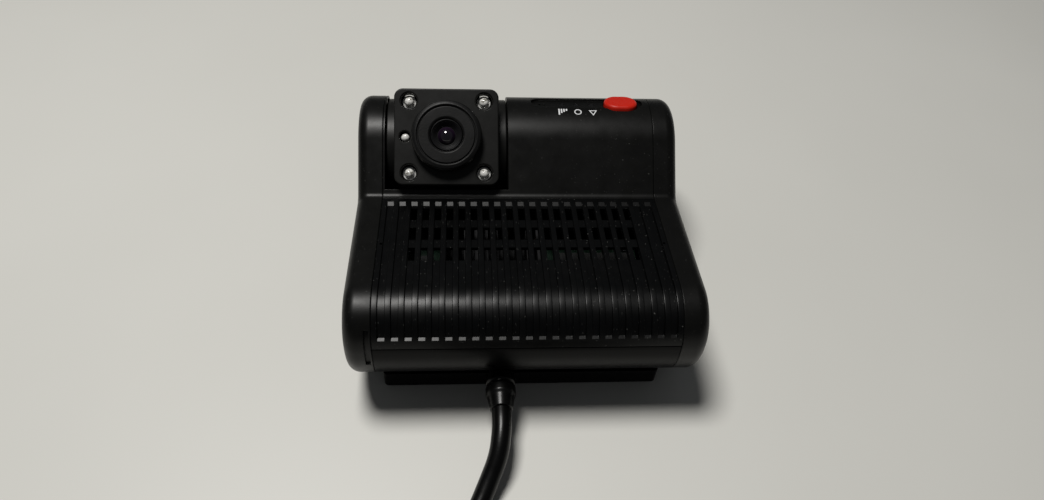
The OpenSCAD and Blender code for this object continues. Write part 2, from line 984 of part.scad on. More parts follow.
function spline(p0, p1, p2, p3, t) = 0.5 * (
    2 * p1 + (p2 - p0) * t + (2 * p0 - 5 * p1 + 4 * p2 - p3) * t * t
    + (3 * p1 - p0 - 3 * p2 + p3) * t * t * t
);
function smooth(route, steps) =
    let (n = len(route) - 1)
    concat(
        [for (k = [0:n - 1], j = [0:steps - 1])
            spline(route[max(k - 1, 0)], route[k], route[k + 1], route[min(k + 2, n)], j / steps)],
        [route[n]]
    );
function unit(v) = v / norm(v);

// Tube of ten sides along a route that stays near the Y direction
module tube(route, r) {
    sides = 10;
    n = len(route) - 1;
    rings = [for (k = [0:n])
        let (
            ahead = unit(route[min(k + 1, n)] - route[max(k - 1, 0)]),
            across = unit(cross(ahead, [0, 0, 1])),
            up = cross(across, ahead)
        )
        [for (s = [0:sides - 1])
            let (a = 360 * (s + 0.5) / sides)
            route[k] + r * (cos(a) * across + sin(a) * up)]];
    polyhedron(
        points = [for (ring = rings) each ring],
        faces = concat(
            [[for (s = [sides - 1:-1:0]) s]],
            [[for (s = [0:sides - 1]) n * sides + s]],
            [for (k = [0:n - 1], s = [0:sides - 1])
                let (a = k * sides + s, b = k * sides + (s + 1) % sides)
                [a, b, b + sides, a + sides]]
        )
    );
}

module cable_lead() {
    color("#131314")
        tube(smooth(lead_route, 2), cable_d / 2);
}

// Six turns lie three, two and one high
module cable_coil() {
    d = cable_d;
    rise = d * sin(60);
    color("#131314")
        translate([coil_c[0], coil_c[1], 0])
            rotate_extrude($fn = 96)
                translate([coil_d / 2, 0])
                    polygon([
                        [-1.5 * d, 0], [1.5 * d, 0], [1.5 * d, d / 2], [d / 2, d / 2 + 2 * rise],
                        [d / 7, d + 2 * rise], [-d / 7, d + 2 * rise],
                        [-d / 2, d / 2 + 2 * rise], [-1.5 * d, d / 2]
                    ]);
}

coil_top = cable_d * (1 + 2 * sin(60));

module cable_tie() {
    color("#19191a")
        translate([coil_c[0] + coil_d / 2, coil_c[1], 0])
            rotate([90, 0, 0])
                translate([0, 0, -2.5])
                    difference() {
                        box(-12.1, 12.1, 0, coil_top + 1.2, 0, 5);
                        box(-10.9, 10.9, -1, coil_top + 0.2, -1, 6);
                    }
}

module cable_plug() {
    color("#1b1b1d")
        translate([coil_c[0] - coil_d / 2, coil_c[1] - 4, coil_top])
            difference() {
                union() {
                    box(-6.5, 6.5, -22, 0, 0, 9);
                    box(-2, 2, -18, -4, 9, 10.6);
                }
                for (x = [-3, 3])
                    box(x - 1.6, x + 1.6, -23, -12, 2.4, 6.4);
            }
}

rear_shell();
front_panel();
ribbed_cover();
left_end_cap();
right_end_cap();
left_side_plate();
right_side_plate();
end_screws();
bracket_plate();
adhesive_pad();
bracket_lock_screws();
drum_bulkheads();
drum_bushes();
main_board();
board_screws();
processor_chips();
thermal_pad();
heat_sink();
modem_module();
backup_capacitors();
speaker();
positioning_antenna();
cellular_antenna();
card_sockets();
memory_card();
sim_card();
status_board();
button_switch();
status_light_pipes();
microphone();
record_button();
card_door();
door_hinge_pin();
drum_shell();
face_plate();
lens_ring();
lens_barrel();
lens_glass();
infrared_lights();
light_sensor();
light_board();
cabin_camera_board();
road_drum();
road_lens_ring();
road_lens_barrel();
road_lens_glass();
road_camera_board();
road_brackets();
cable_socket();
cable_boot();
cable_lead();
cable_coil();
cable_tie();
cable_plug();
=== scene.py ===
import json
import math

import bmesh
import bpy
from mathutils import Matrix, Vector


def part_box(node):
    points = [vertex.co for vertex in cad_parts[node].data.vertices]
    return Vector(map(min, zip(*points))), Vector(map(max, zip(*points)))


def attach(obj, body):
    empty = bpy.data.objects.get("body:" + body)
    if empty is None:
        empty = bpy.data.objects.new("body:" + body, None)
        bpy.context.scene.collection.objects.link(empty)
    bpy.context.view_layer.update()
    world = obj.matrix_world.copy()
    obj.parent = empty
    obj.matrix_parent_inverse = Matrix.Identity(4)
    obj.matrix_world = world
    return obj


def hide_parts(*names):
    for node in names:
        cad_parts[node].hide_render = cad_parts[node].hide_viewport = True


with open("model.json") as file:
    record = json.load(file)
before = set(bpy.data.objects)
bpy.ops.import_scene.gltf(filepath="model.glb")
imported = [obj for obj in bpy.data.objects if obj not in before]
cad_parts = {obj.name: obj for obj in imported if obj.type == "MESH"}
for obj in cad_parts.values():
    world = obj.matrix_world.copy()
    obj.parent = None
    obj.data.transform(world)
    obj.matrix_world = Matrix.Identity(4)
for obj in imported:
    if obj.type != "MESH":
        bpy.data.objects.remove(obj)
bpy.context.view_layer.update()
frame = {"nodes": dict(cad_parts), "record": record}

MM = 0.001

# Casing, in millimetres and degrees in the Y and Z plane
CASING_W = 127
CAP_W = 10
CORE_X = CASING_W / 2 - CAP_W
CAP_ROUND = 4.6
WALL = 2.2
BASE_Z = 9
FRONT_Y = -40.7
HEAD_TILT = 40
HEAD_R = 20.6
HEAD_C = Vector((58.8, 43.7))
WAIST_DROP = 22.5
BACK_A = HEAD_TILT - 90
FACE_A = HEAD_TILT + 90
SLOPE_A = 82.1
FRONT_A = 175.8
COVER_SEAM_A = 168
PANEL_SEAM_A = 15
SEAM_LIP = 0.22

# Camera bay, drum and face plate
CABIN_X = -28.6
DRUM_W = 47.2
DRUM_R = 19.4
BAY_X0 = CABIN_X - DRUM_W / 2 - 0.5
BAY_X1 = CABIN_X + DRUM_W / 2 + 0.5
BAY_R = DRUM_R + 0.4
BAY_SILL = -19.9
BAY_BEHIND = 17.5
PLATE_W = 40.3
PLATE_H = 37.3
PLATE_BACK = HEAD_R + 0.6
PLATE_FRONT = HEAD_R + 5
RING_FRONT = PLATE_FRONT + 5.6
LENS_BASE = RING_FRONT - 3.4
RING_R = 13.5
LED_SPAN_X = 28.9
LED_SPAN_Y = 27.7
SENSOR_X = -16
TRUNNION_R = 4
TRUNNION_L = 4.2
LED_SPOTS = [(sx * LED_SPAN_X / 2, sy * LED_SPAN_Y / 2) for sx in (-1, 1) for sy in (-1, 1)]

# Road camera's opening in the back: how far its middle lies below the head's axis, and half its height
ROAD_X = 25
ROAD_W = 29
ROAD_DROP = 13
ROAD_OPENING = 12.9

# Status lights and record button
STATUS_FLOOR = 19.4
STATUS_X0 = 5.2
STATUS_X1 = 51
STATUS_H = 8.4
BUTTON_X = 42
BUTTON_L = 13.6
BUTTON_H = 10.6
LIGHT_X = 23.8
LIGHT_PITCH = 6.1
LIGHT_HOLE_R = 1.2
MIC_X = 9.8
MIC_APART = 1.8
MIC_HOLE_R = 0.55
SIGN_X = (17.7, 23.8, 29.9)
SIGN_A = 95

# Ribbed cover
CHANNELS = 23
CHANNEL_PITCH = 4.56
CHANNEL_DEPTH = 0.9
CHANNEL_END_A = 155
# Length over which a channel rises to its end on the nose, and where it sinks below the waist
CHANNEL_RAMP = 0.8
CHANNEL_START = (2.3, 3.7)
PIN_R = 0.45
VENT_Y = 6.7
VENT_L = 7
VENT_PITCH = 11.4

# Nail notch beside the left cap's seam, for prising the cap off
NOTCH_DEPTH = 1.2
NOTCH_TOP_A = 141
NOTCH_Z = 31

# Cable
CABLE_D = 7
CABLE_X = -9
CABLE_Z = 16
CABLE_HOLE_R = 4.3
COLLAR = 36.1
COLLAR_RECESS_R = 5.8
PLUG_AXIS = 4.5
COIL_C = Vector((10, -138))
COIL_R = 39


def direction(angle):
    return Vector((math.cos(math.radians(angle)), math.sin(math.radians(angle))))


def meet(angle_1, reach_1, angle_2, reach_2):
    """Where two lines meet, each given by its normal's angle and its distance from the origin."""
    (c1, s1), (c2, s2) = direction(angle_1), direction(angle_2)
    return Vector((reach_1 * s2 - reach_2 * s1, reach_2 * c1 - reach_1 * c2)) / (c1 * s2 - s1 * c2)


waist = HEAD_C + HEAD_R * direction(FACE_A) - WAIST_DROP * direction(HEAD_TILT)
back_reach = direction(BACK_A).dot(HEAD_C) + HEAD_R
face_reach = direction(FACE_A).dot(HEAD_C) + HEAD_R
slope_reach = direction(SLOPE_A).dot(waist)
front_reach = direction(FRONT_A).dot(Vector((FRONT_Y, 27)))
HEEL_R, WAIST_R, NOSE_R, CHIN_R = 6, 3, 16, 25
HEEL_C = meet(-90, -BASE_Z - HEEL_R, BACK_A, back_reach - HEEL_R)
WAIST_C = meet(FACE_A, face_reach + WAIST_R, SLOPE_A, slope_reach + WAIST_R)
NOSE_C = meet(SLOPE_A, slope_reach - NOSE_R, FRONT_A, front_reach - NOSE_R)
CHIN_C = meet(FRONT_A, front_reach - CHIN_R, -90, -BASE_Z - CHIN_R)


# Meshes


def new_piece(name, vertices, faces, scale=MM):
    """A mesh object from points in millimetres, with its faces turned outwards."""
    mesh = bpy.data.meshes.new(name)
    mesh.from_pydata([Vector(v) * scale for v in vertices], [], faces)
    bm = bmesh.new()
    bm.from_mesh(mesh)
    bmesh.ops.delete(bm, geom=[v for v in bm.verts if not v.link_faces], context="VERTS")
    bmesh.ops.remove_doubles(bm, verts=bm.verts, dist=1e-7)
    bmesh.ops.recalc_face_normals(bm, faces=bm.faces)
    bm.to_mesh(mesh)
    bm.free()
    piece = bpy.data.objects.new(name, mesh)
    bpy.context.scene.collection.objects.link(piece)
    return piece


def stack(name, loops, place=Matrix.Identity(4), closed=False):
    """Loops of equal length skinned one to the next, and capped, or closed into a ring."""
    n = len(loops[0])
    vertices = [place @ Vector(p) for loop in loops for p in loop]
    faces = []
    rows = len(loops)
    for j in range(rows if closed else rows - 1):
        for k in range(n):
            a, b = j * n + k, j * n + (k + 1) % n
            c, d = (j + 1) % rows * n + (k + 1) % n, (j + 1) % rows * n + k
            faces.append((a, b, c, d))
    if not closed:
        faces.append(tuple(range(n)))
        faces.append(tuple((rows - 1) * n + k for k in range(n)))
    return new_piece(name, vertices, faces)


def ring(radius, height, steps):
    turn = [2 * math.pi * k / steps for k in range(steps)]
    return [(radius * math.cos(a), radius * math.sin(a), height) for a in turn]


CORNER_STEPS = 3


def softened(profile, radius, closed):
    """A profile with each corner rounded, but for the ends of one that isn't closed."""
    out = []
    n = len(profile)
    for k in range(n):
        here = Vector(profile[k])
        if not closed and k in (0, n - 1):
            out.append(tuple(here))
            continue
        before = Vector(profile[k - 1]) - here
        after = Vector(profile[(k + 1) % n]) - here
        reach = min(radius, before.length * 0.45, after.length * 0.45)
        start = here + before.normalized() * reach
        end = here + after.normalized() * reach
        for j in range(CORNER_STEPS + 1):
            t = j / CORNER_STEPS
            out.append(tuple((1 - t) ** 2 * start + 2 * t * (1 - t) * here + t * t * end))
    return out


def lathe(name, profile, place, steps, soft):
    """A turned piece. A profile that starts and ends on the axis is solid, and any other is a ring."""
    solid = profile[0][0] == 0 and profile[-1][0] == 0
    profile = softened(profile, soft, closed=not solid)
    if not solid:
        return stack(name, [ring(r, z, steps) for r, z in profile], place, closed=True)
    loops = [ring(max(r, 0.02), z, steps) for r, z in profile]
    return stack(name, loops, place)


def rounded_rectangle(width, height, radius, steps):
    corners = [(1, 1, 0), (-1, 1, 90), (-1, -1, 180), (1, -1, 270)]
    points = []
    for sx, sy, start in corners:
        centre = Vector((sx * (width / 2 - radius), sy * (height / 2 - radius)))
        points += [centre + radius * direction(start + 90 * k / steps) for k in range(steps + 1)]
    return points


def plate(name, width, height, radius, z0, z1, edge, place, steps=8):
    """A rounded rectangular plate whose edges are rounded too."""
    loops = []
    arcs = [(z0 + edge, -90, 0), (z1 - edge, 0, 90)]
    for level, start, end in arcs:
        for k in range(5):
            bend = direction(start + (end - start) * k / 4)
            inset = edge * (1 - bend[0])
            corner = max(radius - inset, 0.05)
            outline = rounded_rectangle(width - 2 * inset, height - 2 * inset, corner, steps)
            loops.append([(p[0], p[1], level + edge * bend[1]) for p in outline])
    return stack(name, loops, place)


def cylinder(name, radius, z0, z1, place, steps=48):
    return stack(name, [ring(radius, z0, steps), ring(radius, z1, steps)], place)


def join(name, *pieces):
    """One object from several, each of them a closed solid."""
    bm = bmesh.new()
    for piece in pieces:
        bm.from_mesh(piece.data)
    mesh = bpy.data.meshes.new(name)
    bm.to_mesh(mesh)
    bm.free()
    for piece in pieces:
        bpy.data.objects.remove(piece)
    joined = bpy.data.objects.new(name, mesh)
    bpy.context.scene.collection.objects.link(joined)
    return joined


def cut(piece, *cutters):
    """Takes the cutters out of a piece."""
    for cutter in cutters:
        modifier = piece.modifiers.new("cut", "BOOLEAN")
        modifier.operation = "DIFFERENCE"
        modifier.solver = "EXACT"
        modifier.object = cutter
    shown = piece.evaluated_get(bpy.context.evaluated_depsgraph_get())
    mesh = bpy.data.meshes.new_from_object(shown)
    piece.modifiers.clear()
    piece.data = mesh
    for cutter in cutters:
        bpy.data.objects.remove(cutter)
    return piece


def smooth(piece, angle=40):
    """Smooth shading with true flats, and sharp edges where faces meet at more than the angle."""
    mesh = piece.data
    mesh.polygons.foreach_set("use_smooth", [True] * len(mesh.polygons))
    mesh.set_sharp_from_angle(angle=math.radians(angle))
    normals = piece.modifiers.new("normals", "WEIGHTED_NORMAL")
    normals.keep_sharp = True
    return piece


# Places in the CAD frame


def at_head(x, turned=0.0):
    """Z points out of the head's flat face and Y up it, turned back over the head."""
    move = Matrix.Translation((x, HEAD_C[0], HEAD_C[1]))
    return move @ Matrix.Rotation(math.radians(HEAD_TILT - turned), 4, "X")


def moved(place, x, y=0.0):
    return place @ Matrix.Translation((x, y, 0))


STATUS_TURN = 54
AT_CABIN = at_head(CABIN_X)
AT_STATUS = at_head(0, STATUS_TURN)
AT_SOCKET = Matrix.Translation((CABLE_X, 0, CABLE_Z)) @ Matrix.Rotation(math.radians(90), 4, "X")


# Casing shells. A station is a centre, a radius and an angle, and a flat runs between two of one angle.

ARC_STEP = 3.0


def arc(centre, radius, start, end):
    count = max(1, math.ceil(abs(end - start) / ARC_STEP))
    return [(centre, radius, start + (end - start) * k / count) for k in range(count + 1)]


def between(first, last, shares):
    """Stations at shares of the way from one to another."""
    (centre_1, radius_1, angle_1), (centre_2, radius_2, angle_2) = first, last
    return [
        (centre_1.lerp(centre_2, t), radius_1 + (radius_2 - radius_1) * t, angle_1 + (angle_2 - angle_1) * t)
        for t in shares
    ]


def evenly(count):
    """Shares that part a span into one more than count equal lengths."""
    return [(k + 1) / (count + 1) for k in range(count)]


def spot(station, inset):
    """The point of a station that lies inset from the casing's outside."""
    centre, radius, angle = station
    return centre + (radius - inset) * direction(angle)


def outline_stations():
    """Stations round the whole casing."""
    return (
        arc(HEEL_C, HEEL_R, -90, BACK_A)
        + arc(HEAD_C, HEAD_R, BACK_A, FACE_A)
        + arc(WAIST_C, -WAIST_R, FACE_A, SLOPE_A)
        + arc(NOSE_C, NOSE_R, SLOPE_A, FRONT_A)
        + arc(CHIN_C, CHIN_R, FRONT_A, 270)
    )


def inner_spot(x, station):
    """Inside of the wall, which is thinner round the camera bay."""
    place = spot(station, WALL)
    away = place - HEAD_C
    if x < BAY_X1 + 0.01 and away.length < BAY_R:
        place = HEAD_C + away.normalized() * BAY_R
    return place


def shell(name, xs, stations, kept, sunk=lambda x, k: 0.0):
    """Part of the casing's wall. kept drops cells for openings, and sunk presses the outside in."""
    rows, columns = len(stations), len(xs)
    vertices = []
    for j, x in enumerate(xs):
        for k, station in enumerate(stations):
            lip = SEAM_LIP if j in (0, columns - 1) or k in (0, rows - 1) else 0.0
            vertices.append((x, *spot(station, max(lip, sunk(x, k)))))
    for x in xs:
        vertices += [(x, *inner_spot(x, station)) for station in stations]
    inside = rows * columns
    cells = {
        (j, k)
        for j in range(columns - 1)
        for k in range(rows - 1)
        if kept((xs[j] + xs[j + 1]) / 2, k)
    }
    faces = []
    for j, k in sorted(cells):
        a, b, c, d = j * rows + k, (j + 1) * rows + k, (j + 1) * rows + k + 1, j * rows + k + 1
        faces.append((a, b, c, d))
        faces.append((inside + d, inside + c, inside + b, inside + a))
        sides = (((j, k - 1), a, b), ((j + 1, k), b, c), ((j, k + 1), c, d), ((j - 1, k), d, a))
        for beside, p, q in sides:
            if beside not in cells:
                faces.append((p, inside + p, inside + q, q))
    return new_piece(name, vertices, faces)


def with_lips(stations):
    """Adds a station just inside each end, where the edge's small chamfer starts."""
    first, second, last, before = stations[0], stations[1], stations[-1], stations[-2]
    gap_1 = (spot(second, 0) - spot(first, 0)).length
    gap_2 = (spot(before, 0) - spot(last, 0)).length
    return (
        [first]
        + between(first, second, [min(0.5, SEAM_LIP / gap_1)])
        + stations[1:-1]
        + between(last, before, [min(0.5, SEAM_LIP / gap_2)])
        + [last]
    )


def core_xs(inner):
    return [-CORE_X, -CORE_X + SEAM_LIP, *inner, CORE_X - SEAM_LIP, CORE_X]


def make_rear_shell():
    head_back = (HEAD_C, HEAD_R, BACK_A)
    heel_back = (HEEL_C, HEEL_R, BACK_A)
    flat = (spot(head_back, 0) - spot(heel_back, 0)).length
    start, end = 1 - (ROAD_DROP + ROAD_OPENING) / flat, 1 - (ROAD_DROP - ROAD_OPENING) / flat
    back = between(heel_back, head_back, [start, *[start + (end - start) * t for t in evenly(9)], end])
    bottom = arc(NOSE_C, NOSE_R, COVER_SEAM_A, FRONT_A) + arc(CHIN_C, CHIN_R, FRONT_A, 270)
    heel = arc(HEEL_C, HEEL_R, 270, 360 + BACK_A)
    head = arc(HEAD_C, HEAD_R, 360 + BACK_A, 360 + PANEL_SEAM_A)
    back = [(c, r, 360 + BACK_A) for c, r, _ in back]
    stations = with_lips(bottom + heel + back + head)

    def row_at(station):
        return min(k for k, s in enumerate(stations) if (spot(s, 0) - spot(station, 0)).length < 0.01)

    low, high = row_at(back[0]), row_at(back[-1])
    half = ROAD_W / 2 + 0.5

    def kept(x, k):
        return not (abs(x - ROAD_X) < half and low <= k < high)

    xs = core_xs([-40, -25, BAY_X1, BAY_X1 + 0.05, ROAD_X - half, ROAD_X + half])
    piece = shell("rear_shell_skin", xs, stations, kept)
    hole = cylinder("cable_hole", CABLE_HOLE_R, 18, 44, AT_SOCKET)
    recess = cylinder("collar_recess", COLLAR_RECESS_R, COLLAR - 0.1, 46, AT_SOCKET, 64)
    return cut(piece, hole, recess)


def make_front_panel():
    waist_top = (WAIST_C, -WAIST_R, FACE_A)
    head_start = (HEAD_C, HEAD_R, FACE_A)

    def up_face(station):
        """Height up the head's face from its axis."""
        return (spot(station, 0) - HEAD_C).dot(direction(HEAD_TILT))

    low = up_face(waist_top)
    sill = (BAY_SILL - low) / -low
    stations = (
        arc(WAIST_C, -WAIST_R, SLOPE_A, FACE_A)
        + between(waist_top, head_start, [sill, sill + (1 - sill) / 2])
        + arc(HEAD_C, HEAD_R, FACE_A, HEAD_TILT)
        + arc(HEAD_C, HEAD_R, HEAD_TILT, HEAD_TILT - BAY_BEHIND)[1:]
        + arc(HEAD_C, HEAD_R, HEAD_TILT - BAY_BEHIND, PANEL_SEAM_A)[1:]
    )
    stations = with_lips(stations)
    sill_row = min(k for k, s in enumerate(stations) if abs(up_face(s) - BAY_SILL) < 0.01)
    top_row = max(k for k, s in enumerate(stations) if s[2] > HEAD_TILT - BAY_BEHIND - 0.01)

    def kept(x, k):
        return not (BAY_X0 < x < BAY_X1 and sill_row <= k < top_row)

    xs = core_xs([BAY_X0, BAY_X1, BAY_X1 + 0.05, 25])
    panel = shell("front_panel_skin", xs, stations, kept)
    slot_x = (STATUS_X0 + STATUS_X1) / 2
    slot = obround("slot", STATUS_X1 - STATUS_X0, STATUS_H, STATUS_FLOOR, 30, moved(AT_STATUS, slot_x))
    at_button = moved(AT_STATUS, BUTTON_X)
    pocket = obround("pocket", BUTTON_L + 2, BUTTON_H + 1.4, STATUS_FLOOR, 30.5, at_button)
    shaft = obround("shaft", BUTTON_L + 0.6, BUTTON_H + 0.6, 10, 31, at_button)
    cutters = [slot, pocket, shaft]
    for k in (-1, 0, 1):
        at_light = moved(AT_STATUS, LIGHT_X + k * LIGHT_PITCH)
        cutters.append(cylinder("light_hole", LIGHT_HOLE_R, 10, 32, at_light))
    for side in (-0.5, 0.5):
        at_hole = moved(AT_STATUS, MIC_X + side * MIC_APART)
        cutters.append(cylinder("mic_hole", MIC_HOLE_R, 10, 32, at_hole, 24))
    return cut(panel, *cutters)


def obround(name, length, height, z0, z1, place, edge=0.0):
    """A bar with round ends, lying along X."""
    if edge:
        return plate(name, length, height, height / 2 - 0.01, z0, z1, edge, place, 16)
    outline = rounded_rectangle(length, height, height / 2 - 0.01, 16)
    return stack(name, [[(p[0], p[1], z) for p in outline] for z in (z0, z1)], place)


# Half of a channel: distance from its centre, and share of its depth
CHANNEL_SIDE = [(1.15, 1.0), (1.25, 0.28), (1.33, 0.07), (1.5, 0.0)]
CHANNEL_PROFILE = [(-x, share) for x, share in reversed(CHANNEL_SIDE)] + CHANNEL_SIDE


def make_ribbed_cover():
    waist_end = (WAIST_C, -WAIST_R, SLOPE_A)
    nose_start = (NOSE_C, NOSE_R, SLOPE_A)
    start, end = spot(waist_end, 0)[0], spot(nose_start, 0)[0]
    marks = [start - reach for reach in CHANNEL_START]
    for row in (1, 0, -1):
        centre = VENT_Y + row * VENT_PITCH
        marks += [centre + VENT_L / 2, centre - VENT_L / 2]
    marks += [PIN_R, -PIN_R]
    marks = sorted(marks, reverse=True)
    slope = [waist_end] + between(waist_end, nose_start, [(start - y) / (start - end) for y in marks])
    last_deep = CHANNEL_END_A - math.degrees(CHANNEL_RAMP / NOSE_R)
    nose = (
        arc(NOSE_C, NOSE_R, SLOPE_A, last_deep)
        + arc(NOSE_C, NOSE_R, CHANNEL_END_A, COVER_SEAM_A)
    )
    stations = with_lips(slope + nose)
    ys = [spot(s, 0)[0] for s in stations]
    first_deep = start - sum(CHANNEL_START) / 2

    centres = [(k - (CHANNELS - 1) / 2) * CHANNEL_PITCH for k in range(CHANNELS)]
    inner = [c + x for c in centres for x, _ in CHANNEL_PROFILE]
    shares = {round(c + x, 4): share for c in centres for x, share in CHANNEL_PROFILE}
    pin_x = CORE_X - 1.4
    inner = [x for x in inner if abs(x) < pin_x - 0.5]
    inner = [-pin_x - PIN_R, -pin_x + PIN_R, *inner, pin_x - PIN_R, pin_x + PIN_R]

    def sunk(x, k):
        if ys[k] > first_deep or stations[k][2] > CHANNEL_END_A - 0.01:
            return 0.0
        return CHANNEL_DEPTH * shares.get(round(x, 4), 0.0)

    vented = {round(c, 3) for c in centres[2:-2]}

    def kept(x, k):
        y = (ys[k] + ys[k + 1]) / 2
        if abs(abs(x) - pin_x) < 0.1:
            return abs(y) > PIN_R or stations[k][2] > SLOPE_A + 1
        if round(x, 3) not in vented or stations[k][2] > SLOPE_A + 1:
            return True
        return not any(abs(y - VENT_Y - row * VENT_PITCH) < VENT_L / 2 for row in (-1, 0, 1))

    return shell("ribbed_cover_skin", core_xs(inner), stations, kept, sunk)


def make_end_cap(name, side):
    edge = CASING_W / 2 - CAP_ROUND
    plate_inset = CAP_ROUND + 0.4
    section = [(CORE_X + 0.03, SEAM_LIP), (CORE_X + SEAM_LIP, 0), (edge, 0)]
    for k in range(1, 9):
        bend = direction(90 * k / 8)
        section.append((edge + CAP_ROUND * bend[1], CAP_ROUND * (1 - bend[0])))
    section += [(CASING_W / 2 - 0.3, plate_inset), (CORE_X + 0.03, plate_inset)]
    stations = outline_stations()
    loops = [[(side * x, *spot(s, inset)) for s in stations] for x, inset in section]
    return stack(name, loops, closed=True)


def make_left_cap():
    cap = make_end_cap("left_cap_skin", -1)
    clear = 3
    corner = meet(FRONT_A, front_reach - NOTCH_DEPTH, 90, NOTCH_Z)
    outer = meet(FRONT_A, front_reach + clear, 90, NOTCH_Z)
    notch = (
        [spot(s, NOTCH_DEPTH) for s in arc(NOSE_C, NOSE_R, NOTCH_TOP_A, FRONT_A)]
        + [corner, outer]
        + [spot(s, -clear) for s in arc(NOSE_C, NOSE_R, FRONT_A, NOTCH_TOP_A)]
    )
    loops = [[(x, *p) for p in notch] for x in (-CORE_X - 2.5, -CORE_X - 0.7)]
    return cut(cap, stack("notch", loops))


# Cabin camera


def make_drum():
    half = DRUM_W / 2
    across = AT_CABIN @ Matrix.Rotation(math.radians(90), 4, "Y")
    tip = half + TRUNNION_L
    profile = [
        (0, -tip), (TRUNNION_R, -tip), (TRUNNION_R, -half), (DRUM_R, -half),
        (DRUM_R, half), (TRUNNION_R, half), (TRUNNION_R, tip), (0, tip),
    ]
    body = lathe("drum_body", profile, across, 128, 0.5)
    neck = plate("drum_neck", 36.4, 32.8, 2, 10, PLATE_BACK, 0.2, AT_CABIN)
    return join("camera_drum", body, neck)


def countersink(name, radius, wide, start, place):
    """A cutter for a hole through the face plate that widens from start to the plate's front."""
    profile = [(0, 15), (radius, 15), (radius, start), (wide, 25.7), (wide, 40), (0, 40)]
    return lathe(name, profile, place, 48, 0.02)


def make_face_plate():
    body = plate("face_plate_body", PLATE_W, PLATE_H, 3.4, PLATE_BACK, PLATE_FRONT, 0.55, AT_CABIN)
    cutters = [cylinder("opening", 11, 15, 40, AT_CABIN, 96)]
    cutters += [countersink("led_hole", 3.1, 3.75, 25.1, moved(AT_CABIN, x, y)) for x, y in LED_SPOTS]
    cutters.append(countersink("sensor_hole", 2.2, 2.6, 25.2, moved(AT_CABIN, SENSOR_X)))
    return cut(body, *cutters)


def make_lens_ring():
    top = RING_FRONT
    profile = [
        (6.2, PLATE_BACK), (10.9, PLATE_BACK), (10.9, PLATE_FRONT), (RING_R, PLATE_FRONT),
        (RING_R, top - 1.6), (RING_R - 0.5, top - 0.55), (RING_R - 1.6, top), (11.4, top), (11.4, top - 0.8),
        (10.8, top - 0.8), (10.8, top - 0.2), (6.9, top - 0.2), (6.2, top - 0.9),
    ]
    body = lathe("ring_body", profile, AT_CABIN, 160, 0.25)
    return cut(body, cylinder("sensor_clearance", 2.9, PLATE_FRONT - 1, 40, moved(AT_CABIN, SENSOR_X)))


def make_lens_barrel():
    """The barrel's front steps in and down to the lens."""
    front, floor = RING_FRONT - 1, LENS_BASE
    mouth, narrowing, steps = 5.6, 2.2, 5
    profile = [(0, 12.4), (7, 12.4), (7, 17), (6, 17), (6, front), (mouth, front)]
    for k in range(steps):
        radius = mouth - (k + 1) * narrowing / steps
        level = front - (k + 1) * (front - floor) / steps
        profile += [(radius + narrowing / steps - 0.06, level), (radius, level)]
    profile.append((0, floor))
    return lathe("lens_barrel_steps", profile, AT_CABIN, 128, 0.05)


def dome(name, radius, base, sag, place, rise):
    """A lens: a spherical cap of that radius and sag, less than half a ball, standing on a short rim."""
    profile = [(0, base), (radius, base), (radius, base + rise)]
    sphere = (radius * radius + sag * sag) / (2 * sag)
    half = math.asin(radius / sphere)
    rows = 12
    for k in range(1, rows + 1):
        a = half * (1 - k / rows)
        profile.append((sphere * math.sin(a), base + rise + sag - sphere * (1 - math.cos(a))))
    loops = [ring(max(r, 0.01), z, 48) for r, z in profile]
    return stack(name, loops, place)


def make_reflector(name, place):
    """The silvery dish and chip under a clear dome."""
    profile = [
        (0, 20.8), (1, 20.8), (1, PLATE_BACK), (2.6, PLATE_BACK), (2.6, 22.4), (2.3, 22.45),
        (1.3, 21.8), (0.9, 21.75), (0.9, 21.95), (0, 21.95),
    ]
    return lathe(name, profile, place, 48, 0.05)


# Printed signs beside the status lights


PRINT_LOW = HEAD_R - 0.25
PRINT_HIGH = HEAD_R + 0.05


def sign_place(x):
    return at_head(x, FACE_A - SIGN_A)


def make_bars():
    """Signal bars, which read the right way up when the casing hangs from a windscreen."""
    bars = []
    heights = (3.3, 2.3, 1.7, 1.1)
    for k, height in enumerate(heights):
        place = moved(sign_place(SIGN_X[0] - 1.5 + k), 0, (heights[0] - height) / 2)
        bars.append(plate(f"bar_{k}", 0.62, height, 0.08, PRINT_LOW, PRINT_HIGH, 0.02, place, 3))
    return join("signal_bars", *bars)


def make_ring_sign():
    profile = [(1.05, PRINT_LOW), (1.5, PRINT_LOW), (1.5, PRINT_HIGH), (1.05, PRINT_HIGH)]
    return lathe("ring_sign", profile, sign_place(SIGN_X[1]), 48, 0.03)


def make_triangle_sign():
    """An open triangle, as a closed band with chamfered edges."""
    corners = [direction(angle) for angle in (-90, 30, 150)]
    shoulder = HEAD_R + 0.03
    levels = [
        (1.15, PRINT_LOW), (1.95, PRINT_LOW), (1.95, shoulder),
        (1.9, PRINT_HIGH), (1.2, PRINT_HIGH), (1.15, shoulder),
    ]
    loops = [[(*(reach * c), z) for c in corners] for reach, z in levels]
    return stack("triangle_sign", loops, sign_place(SIGN_X[2]), closed=True)


# Cable


def make_boot():
    profile = [
        (0, 25), (3.2, 25), (3.2, 34), (4.1, 34), (4.1, COLLAR), (5.5, COLLAR), (5.5, 39.6), (4.9, 40),
        (4.9, 40.9), (5.5, 41.3), (5.5, 44.2), (4.9, 45.4), (4.55, 47.6), (4.1, 50), (0, 50),
    ]
    return lathe("cable_boot_moulded", profile, AT_SOCKET, 64, 0.4)


